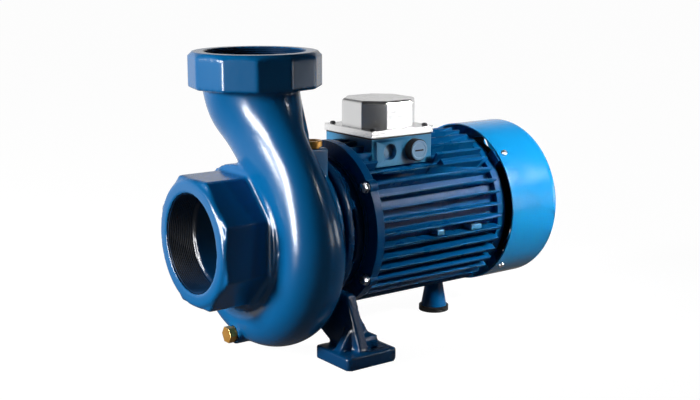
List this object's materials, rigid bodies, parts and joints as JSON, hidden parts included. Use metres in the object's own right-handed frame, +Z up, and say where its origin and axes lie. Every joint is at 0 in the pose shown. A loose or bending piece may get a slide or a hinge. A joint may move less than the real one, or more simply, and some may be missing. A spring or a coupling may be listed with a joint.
{
  "type": "close-coupled centrifugal pump with electric motor",
  "caption": "Close-coupled centrifugal pump: spiral casing with threaded suction and discharge ports, finned motor, feet.",
  "frame": {"origin": "On the floor plane, midway between the two foot bolts", "axes": "+X along the shaft from the suction port to the motor, +Z up through the discharge port, -Y towards the spiral's throat"},
  "size_m": [0.465, 0.2521, 0.339],
  "materials": {
    "casting_blue": "gloss",
    "motor_blue": "satin",
    "cover_blue": "gloss",
    "lid_aluminium": "satin",
    "brass": "polished",
    "steel": "satin",
    "black_rubber": "matte",
    "blue_plastic": "satin",
    "cast_iron": "matte"
  },
  "bodies": {
    "root": {"pump_casing": "casting_blue", "filler_plug": "brass", "filler_washer": "brass", "drain_plug": "brass", "drain_washer": "brass", "casing_cover": "cast_iron", "pump_bracket": "casting_blue", "impeller": "brass", "impeller_nut": "steel", "shaft_seal": "black_rubber", "motor_shaft": "steel", "water_slinger": "black_rubber", "front_shield": "motor_blue", "motor_housing": "motor_blue", "stator_core": "steel", "rotor_core": "steel", "rear_shield": "motor_blue", "terminal_box": "motor_blue", "box_gasket": "black_rubber", "terminal_lid": "lid_aluminium", "cable_plug": "blue_plastic", "slotted_plug": "blue_plastic", "cooling_fan": "black_rubber", "fan_cover": "cover_blue", "support_cone": "motor_blue", "support_ring": "black_rubber"}
  },
  "joints": []
}
